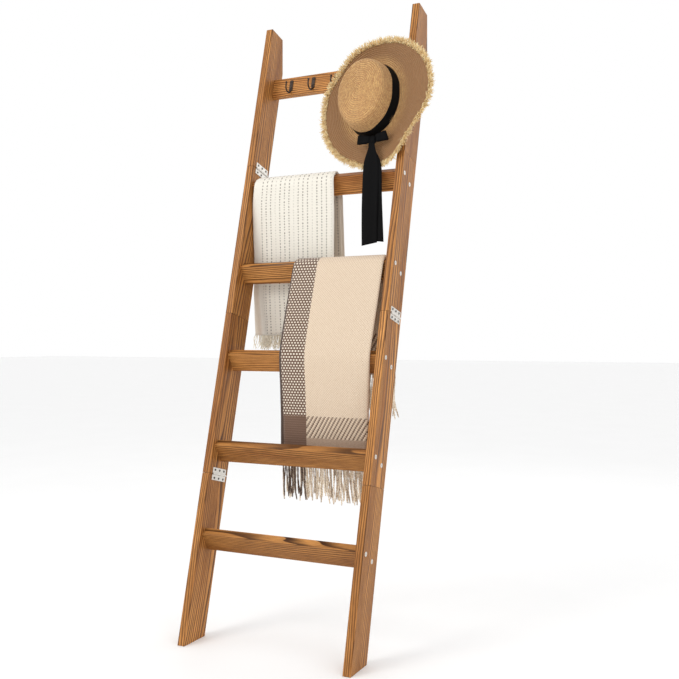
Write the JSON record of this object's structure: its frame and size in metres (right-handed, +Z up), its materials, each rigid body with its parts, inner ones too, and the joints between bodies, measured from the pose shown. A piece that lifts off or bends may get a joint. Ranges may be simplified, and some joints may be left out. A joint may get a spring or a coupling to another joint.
{
  "type": "blanket ladder with throws and hat",
  "caption": "Leaning wooden blanket ladder with rungs and a hook rail, folded fringed throws draped over its rungs and a wide straw hat hung on a hook.",
  "frame": {"origin": "on the floor, midway between the rails, on the line of the feet's front edges", "axes": "+Z up, +X along the rungs, +Y back to the wall that the ladder leans on"},
  "size_m": [0.5886, 0.5109, 1.7427],
  "materials": {
    "stained_wood": "brown stained softwood with strong dark grain, satin",
    "bright_steel": "nickel plated",
    "dark_bronze": "dark bronze lacquer, satin",
    "white_cloth": "woven, small dark dashes in columns",
    "beige_cloth": "loose basket weave with a brown border",
    "straw": "plaited straw in rows",
    "sweatband_cloth": "plain tape",
    "black_ribbon": "ribbed ribbon"
  },
  "bodies": {
    "ladder": {"left_rail_bottom": "stained_wood", "left_rail_lower": "stained_wood", "left_rail_upper": "stained_wood", "left_rail_top": "stained_wood", "right_rail_bottom": "stained_wood", "right_rail_lower": "stained_wood", "right_rail_upper": "stained_wood", "right_rail_top": "stained_wood", "left_rung_screws": "bright_steel", "left_board_screws": "bright_steel", "right_rung_screws": "bright_steel", "right_board_screws": "bright_steel", "left_hinge_1_lower_leaf": "bright_steel", "left_hinge_1_upper_leaf": "bright_steel", "left_hinge_1_pin": "bright_steel", "left_hinge_2_lower_leaf": "bright_steel", "left_hinge_2_upper_leaf": "bright_steel", "left_hinge_2_pin": "bright_steel", "left_hinge_3_lower_leaf": "bright_steel", "left_hinge_3_upper_leaf": "bright_steel", "left_hinge_3_pin": "bright_steel", "left_hinge_screws": "bright_steel", "right_hinge_1_lower_leaf": "bright_steel", "right_hinge_1_upper_leaf": "bright_steel", "right_hinge_1_pin": "bright_steel", "right_hinge_2_lower_leaf": "bright_steel", "right_hinge_2_upper_leaf": "bright_steel", "right_hinge_2_pin": "bright_steel", "right_hinge_3_lower_leaf": "bright_steel", "right_hinge_3_upper_leaf": "bright_steel", "right_hinge_3_pin": "bright_steel", "right_hinge_screws": "bright_steel", "rung_1": "stained_wood", "rung_2": "stained_wood", "rung_3": "stained_wood", "rung_4": "stained_wood", "rung_5": "stained_wood", "hook_board": "stained_wood", "hook_1": "dark_bronze", "hook_2": "dark_bronze", "hook_3": "dark_bronze", "hook_4": "dark_bronze", "hook_5": "dark_bronze", "hook_screws": "dark_bronze"},
    "white_throw_body": {"white_throw": "white_cloth", "white_throw_fringe": "white_cloth"},
    "beige_throw_body": {"beige_throw": "beige_cloth", "beige_throw_fringe": "beige_cloth"},
    "hat_body": {"hat_straw": "straw", "hat_sweatband": "sweatband_cloth", "hat_ribbon_band": "black_ribbon", "hat_bow": "black_ribbon", "hat_ribbon_tails": "black_ribbon"}
  },
  "joints": [
    {"name": "white_throw_slide", "type": "slide", "parent": "ladder", "child": "white_throw_body", "axis": [1, 0, 0], "range_m": [0, 0.04]},
    {"name": "beige_throw_slide", "type": "slide", "parent": "ladder", "child": "beige_throw_body", "axis": [-1, 0, 0], "range_m": [0, 0.16]},
    {"name": "hat_lift", "type": "slide", "parent": "ladder", "child": "hat_body", "axis": [0, 0, 1], "range_m": [0, 0.1]}
  ]
}
